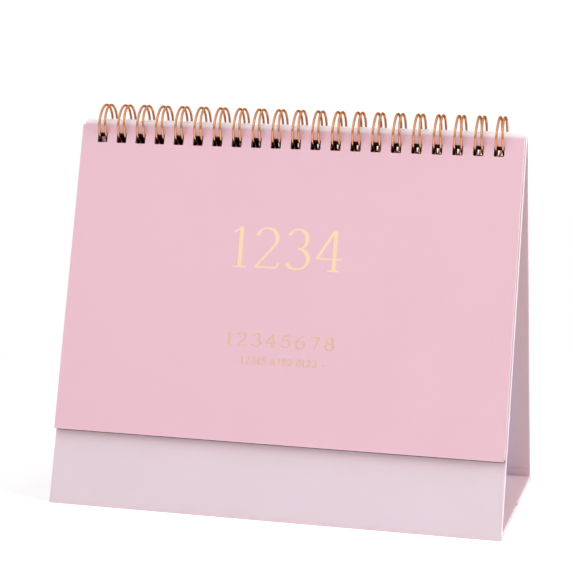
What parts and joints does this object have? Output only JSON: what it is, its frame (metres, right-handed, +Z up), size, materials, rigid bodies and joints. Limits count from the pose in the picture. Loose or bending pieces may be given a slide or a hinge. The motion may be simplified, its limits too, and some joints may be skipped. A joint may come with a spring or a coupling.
{
  "type": "desk calendar",
  "caption": "Folding tent stand of covered board with a pad of month leaves and a card cover, bound along its ridge by a twin-loop wire.",
  "frame": {"origin": "middle of the stand's footprint, on the surface that it stands on", "axes": "+X along the ridge to the viewer's right, -Y towards the viewer, +Z up"},
  "size_m": [0.189, 0.0944, 0.1632],
  "materials": {
    "covered_board": "matt laminated art paper over greyboard",
    "lining_paper": "uncoated lining paper",
    "cover_card": "matt coated card with gold foil figures",
    "leaf_paper": "uncoated offset paper",
    "gold_wire": "polished rose-gold coated wire"
  },
  "bodies": {
    "front_stand": {"front_panel": "covered_board", "front_lining": "lining_paper", "front_fold_paper": "lining_paper", "wire_binding": "gold_wire"},
    "rear_stand": {"rear_panel": "covered_board", "rear_lining": "lining_paper", "rear_fold_paper": "lining_paper"},
    "base_front": {"base_front_panel": "covered_board", "base_front_lining": "lining_paper", "crease_paper_front": "lining_paper"},
    "base_rear": {"base_rear_panel": "covered_board", "base_rear_lining": "lining_paper", "crease_paper_rear": "lining_paper"},
    "month_block": {"month_leaf_02": "leaf_paper", "month_leaf_03": "leaf_paper", "month_leaf_04": "leaf_paper", "month_leaf_05": "leaf_paper", "month_leaf_06": "leaf_paper", "month_leaf_07": "leaf_paper", "month_leaf_08": "leaf_paper", "month_leaf_09": "leaf_paper", "month_leaf_10": "leaf_paper", "month_leaf_11": "leaf_paper", "month_leaf_12": "leaf_paper"},
    "first_month": {"month_leaf_01": "leaf_paper"},
    "cover": {"cover_leaf": "cover_card"}
  },
  "joints": [
    {"name": "stand_fold", "type": "hinge", "parent": "front_stand", "child": "rear_stand", "pos_m": [0, 0, 0.15474], "axis": [-1, 0, 0], "range_deg": [0, 13.8]},
    {"name": "base_front_fold", "type": "hinge", "parent": "front_stand", "child": "base_front", "pos_m": [0, -0.0446, 0.002], "axis": [1, 0, 0], "range_deg": [0, 67.5], "deforming": ["crease_paper_front", "front_fold_paper"]},
    {"name": "base_rear_fold", "type": "hinge", "parent": "rear_stand", "child": "base_rear", "pos_m": [0, 0.0446, 0.002], "axis": [-1, 0, 0], "range_deg": [0, 67.5], "deforming": ["crease_paper_rear", "rear_fold_paper"]},
    {"name": "months_turn", "type": "hinge", "parent": "front_stand", "child": "month_block", "pos_m": [0, 0, 0.15474], "axis": [-1, 0, 0], "range_deg": [0, 180]},
    {"name": "first_month_turn", "type": "hinge", "parent": "month_block", "child": "first_month", "pos_m": [0, 0, 0.15474], "axis": [-1, 0, 0], "range_deg": [0, 180]},
    {"name": "cover_turn", "type": "hinge", "parent": "first_month", "child": "cover", "pos_m": [0, 0, 0.15474], "axis": [-1, 0, 0], "range_deg": [0, 210]}
  ],
  "couplings": [
    {"joint": "base_front_fold", "follows": "stand_fold", "ratio": 4.891},
    {"joint": "base_rear_fold", "follows": "stand_fold", "ratio": 4.891}
  ]
}
